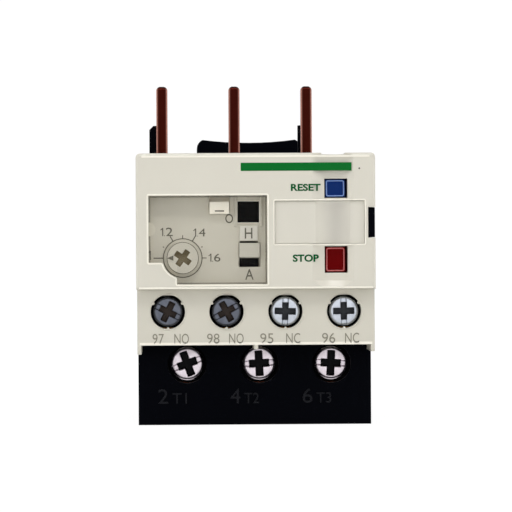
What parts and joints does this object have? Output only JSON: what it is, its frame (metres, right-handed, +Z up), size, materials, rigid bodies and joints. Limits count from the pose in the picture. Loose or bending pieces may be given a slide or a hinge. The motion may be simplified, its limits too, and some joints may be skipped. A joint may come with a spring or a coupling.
{
  "type": "thermal overload relay",
  "caption": "Plug-in motor overload relay: cream front with setting dial, test tab, reset and stop buttons over screw terminals, black base with copper pins and a hook.",
  "frame": {"origin": "centre of the bounding box at the level of the resting face", "axes": "+X to the right seen from the front, +Y to the back, +Z up"},
  "size_m": [0.045, 0.07, 0.066],
  "materials": {
    "cream_plastic": "fine matte moulded polyamide",
    "black_plastic": "satin moulded polyamide",
    "marker_plastic": "fine matte moulded polyamide",
    "clear_plastic": "clear polycarbonate",
    "grey_plastic": "matte moulded polyamide",
    "white_plastic": "matte moulded acetal",
    "blue_plastic": "satin moulded acetal",
    "red_plastic": "satin moulded acetal",
    "green_plastic": "satin moulded acetal",
    "copper": "drawn copper",
    "nickel_steel": "nickel plated steel",
    "zinc_steel": "zinc plated steel",
    "spring_steel": "spring wire",
    "bimetal": "rolled bimetal strip",
    "contact_bronze": "bronze strip with silver tips"
  },
  "bodies": {
    "housing": {"base_housing": "black_plastic", "front_cover": "cream_plastic", "aux_terminal_housing": "cream_plastic", "marker_plate": "marker_plastic", "mechanism_frame": "grey_plastic", "reset_spring": "spring_steel", "stop_spring": "spring_steel", "snap_spring": "spring_steel", "no_fixed_contact": "contact_bronze", "nc_fixed_contact": "contact_bronze", "line_pin_1": "copper", "heater_coil_1": "nickel_steel", "load_terminal_bar_1": "copper", "line_pin_2": "copper", "heater_coil_2": "nickel_steel", "load_terminal_bar_2": "copper", "line_pin_3": "copper", "heater_coil_3": "nickel_steel", "load_terminal_bar_3": "copper", "aux_plate_97": "contact_bronze", "aux_plate_98": "contact_bronze", "aux_plate_95": "contact_bronze", "aux_plate_96": "contact_bronze"},
    "window_flap": {"window_cover": "clear_plastic"},
    "dial": {"setting_dial": "white_plastic"},
    "adjuster": {"adjusting_lever": "nickel_steel"},
    "compensator": {"compensating_bimetal": "bimetal"},
    "trip_bar": {"trip_slider": "grey_plastic"},
    "differential_bar": {"differential_slider": "grey_plastic"},
    "differential_arm": {"differential_lever": "grey_plastic"},
    "tripper": {"trip_lever": "grey_plastic"},
    "no_blade": {"no_moving_contact": "contact_bronze"},
    "nc_blade": {"nc_moving_contact": "contact_bronze"},
    "flag": {"trip_flag": "green_plastic"},
    "test": {"test_tab": "white_plastic"},
    "selector": {"mode_selector": "white_plastic"},
    "reset": {"reset_button": "blue_plastic"},
    "stop": {"stop_button": "red_plastic"},
    "strip_1": {"bimetal_strip_1": "bimetal"},
    "clamp_1": {"load_clamp_1": "zinc_steel"},
    "screw_1": {"load_screw_1": "nickel_steel"},
    "strip_2": {"bimetal_strip_2": "bimetal"},
    "clamp_2": {"load_clamp_2": "zinc_steel"},
    "screw_2": {"load_screw_2": "nickel_steel"},
    "strip_3": {"bimetal_strip_3": "bimetal"},
    "clamp_3": {"load_clamp_3": "zinc_steel"},
    "screw_3": {"load_screw_3": "nickel_steel"},
    "clamp_97": {"aux_clamp_97": "zinc_steel"},
    "screw_97": {"aux_screw_97": "zinc_steel"},
    "clamp_98": {"aux_clamp_98": "zinc_steel"},
    "screw_98": {"aux_screw_98": "zinc_steel"},
    "clamp_95": {"aux_clamp_95": "zinc_steel"},
    "screw_95": {"aux_screw_95": "zinc_steel"},
    "clamp_96": {"aux_clamp_96": "zinc_steel"},
    "screw_96": {"aux_screw_96": "zinc_steel"}
  },
  "joints": [
    {"name": "window_open", "type": "hinge", "parent": "housing", "child": "window_flap", "pos_m": [0.0016, -0.0343, 0.0355], "axis": [0, 0, 1], "range_deg": [0, 105]},
    {"name": "dial_turn", "type": "hinge", "parent": "housing", "child": "dial", "pos_m": [-0.01374, -0.03, 0.03213], "axis": [0, 1, 0], "range_deg": [0, 180]},
    {"name": "adjuster_turn", "type": "hinge", "parent": "housing", "child": "adjuster", "pos_m": [-0.0125, -0.0255, 0.0425], "axis": [0, 1, 0], "range_deg": [0, 9]},
    {"name": "trip_travel", "type": "slide", "parent": "housing", "child": "trip_bar", "axis": [1, 0, 0], "range_m": [0, 0.0012], "stiffness_N_per_m": 500},
    {"name": "compensator_swing", "type": "hinge", "parent": "adjuster", "child": "compensator", "pos_m": [-0.009, -0.0208, 0.047], "axis": [0, -1, 0], "range_deg": [0, 8.5]},
    {"name": "differential_lag", "type": "slide", "parent": "trip_bar", "child": "differential_bar", "axis": [1, 0, 0], "range_m": [-0.0009, 0], "stiffness_N_per_m": 300},
    {"name": "differential_turn", "type": "hinge", "parent": "trip_bar", "child": "differential_arm", "pos_m": [-0.0122, 0.013, 0.046], "axis": [0, 0, 1], "range_deg": [0, 13.5]},
    {"name": "strip_1_bend", "type": "hinge", "parent": "housing", "child": "strip_1", "pos_m": [-0.01536, 0.015, 0.0203], "axis": [0, 1, 0], "range_deg": [0, 3]},
    {"name": "strip_2_bend", "type": "hinge", "parent": "housing", "child": "strip_2", "pos_m": [-0.0011, 0.015, 0.0203], "axis": [0, 1, 0], "range_deg": [0, 3]},
    {"name": "strip_3_bend", "type": "hinge", "parent": "housing", "child": "strip_3", "pos_m": [0.01316, 0.015, 0.0203], "axis": [0, 1, 0], "range_deg": [0, 3]},
    {"name": "tripper_turn", "type": "hinge", "parent": "housing", "child": "tripper", "pos_m": [-0.0015, -0.0176, 0.04], "axis": [0, -1, 0], "range_deg": [0, 15.5]},
    {"name": "no_blade_bend", "type": "hinge", "parent": "housing", "child": "no_blade", "pos_m": [-0.00555, -0.0145, 0.028], "axis": [0, -1, 0], "range_deg": [0, 3]},
    {"name": "nc_blade_bend", "type": "hinge", "parent": "housing", "child": "nc_blade", "pos_m": [0.00555, -0.0145, 0.028], "axis": [0, 1, 0], "range_deg": [0, 4.5]},
    {"name": "flag_drop", "type": "slide", "parent": "housing", "child": "flag", "axis": [0, 0, -1], "range_m": [0, 0.0044]},
    {"name": "test_slide", "type": "slide", "parent": "housing", "child": "test", "axis": [0, 0, 1], "range_m": [0, 0.001], "stiffness_N_per_m": 200},
    {"name": "selector_slide", "type": "slide", "parent": "housing", "child": "selector", "axis": [0, 0, -1], "range_m": [0, 0.0017]},
    {"name": "reset_press", "type": "slide", "parent": "housing", "child": "reset", "axis": [0, 1, 0], "range_m": [0, 0.0022], "stiffness_N_per_m": 400, "deforming": ["reset_spring"]},
    {"name": "stop_press", "type": "slide", "parent": "housing", "child": "stop", "axis": [0, 1, 0], "range_m": [0, 0.0022], "stiffness_N_per_m": 400, "deforming": ["stop_spring"]},
    {"name": "clamp_1_travel", "type": "slide", "parent": "housing", "child": "clamp_1", "axis": [0, 1, 0], "range_m": [0, 0.00419]},
    {"name": "screw_1_turn", "type": "hinge", "parent": "clamp_1", "child": "screw_1", "pos_m": [-0.013, -0.017, 0.0117], "axis": [0, 1, 0], "range_deg": [0, 2160]},
    {"name": "clamp_2_travel", "type": "slide", "parent": "housing", "child": "clamp_2", "axis": [0, 1, 0], "range_m": [0, 0.00419]},
    {"name": "screw_2_turn", "type": "hinge", "parent": "clamp_2", "child": "screw_2", "pos_m": [0.0009, -0.017, 0.0117], "axis": [0, 1, 0], "range_deg": [0, 2160]},
    {"name": "clamp_3_travel", "type": "slide", "parent": "housing", "child": "clamp_3", "axis": [0, 1, 0], "range_m": [0, 0.00419]},
    {"name": "screw_3_turn", "type": "hinge", "parent": "clamp_3", "child": "screw_3", "pos_m": [0.0148, -0.017, 0.0117], "axis": [0, 1, 0], "range_deg": [0, 2160]},
    {"name": "clamp_97_travel", "type": "slide", "parent": "housing", "child": "clamp_97", "axis": [0, 1, 0], "range_m": [0, 0.00359]},
    {"name": "screw_97_turn", "type": "hinge", "parent": "clamp_97", "child": "screw_97", "pos_m": [-0.0166, -0.031, 0.022], "axis": [0, 1, 0], "range_deg": [0, 2160]},
    {"name": "clamp_98_travel", "type": "slide", "parent": "housing", "child": "clamp_98", "axis": [0, 1, 0], "range_m": [0, 0.00359]},
    {"name": "screw_98_turn", "type": "hinge", "parent": "clamp_98", "child": "screw_98", "pos_m": [-0.00555, -0.031, 0.022], "axis": [0, 1, 0], "range_deg": [0, 2160]},
    {"name": "clamp_95_travel", "type": "slide", "parent": "housing", "child": "clamp_95", "axis": [0, 1, 0], "range_m": [0, 0.00359]},
    {"name": "screw_95_turn", "type": "hinge", "parent": "clamp_95", "child": "screw_95", "pos_m": [0.00555, -0.031, 0.022], "axis": [0, 1, 0], "range_deg": [0, 2160]},
    {"name": "clamp_96_travel", "type": "slide", "parent": "housing", "child": "clamp_96", "axis": [0, 1, 0], "range_m": [0, 0.00359]},
    {"name": "screw_96_turn", "type": "hinge", "parent": "clamp_96", "child": "screw_96", "pos_m": [0.0166, -0.031, 0.022], "axis": [0, 1, 0], "range_deg": [0, 2160]}
  ],
  "couplings": [
    {"joint": "adjuster_turn", "follows": "dial_turn", "ratio": 0.049},
    {"joint": "compensator_swing", "follows": "trip_travel", "rad_per_m": 117.6},
    {"joint": "differential_turn", "follows": "differential_lag", "rad_per_m": -252},
    {"joint": "strip_1_bend", "follows": "trip_travel", "rad_per_m": 42.2},
    {"joint": "strip_2_bend", "follows": "trip_travel", "rad_per_m": 42.2},
    {"joint": "strip_3_bend", "follows": "trip_travel", "rad_per_m": 42.2},
    {"joint": "tripper_turn", "follows": "trip_travel", "rad_per_m": 222.5},
    {"joint": "no_blade_bend", "follows": "trip_travel", "rad_per_m": 41.67},
    {"joint": "nc_blade_bend", "follows": "trip_travel", "rad_per_m": 62.5},
    {"joint": "flag_drop", "follows": "trip_travel", "ratio": 3.5833},
    {"joint": "screw_1_turn", "follows": "clamp_1_travel", "rad_per_m": 8976},
    {"joint": "screw_2_turn", "follows": "clamp_2_travel", "rad_per_m": 8976},
    {"joint": "screw_3_turn", "follows": "clamp_3_travel", "rad_per_m": 8976},
    {"joint": "screw_97_turn", "follows": "clamp_97_travel", "rad_per_m": 10472},
    {"joint": "screw_98_turn", "follows": "clamp_98_travel", "rad_per_m": 10472},
    {"joint": "screw_95_turn", "follows": "clamp_95_travel", "rad_per_m": 10472},
    {"joint": "screw_96_turn", "follows": "clamp_96_travel", "rad_per_m": 10472}
  ]
}
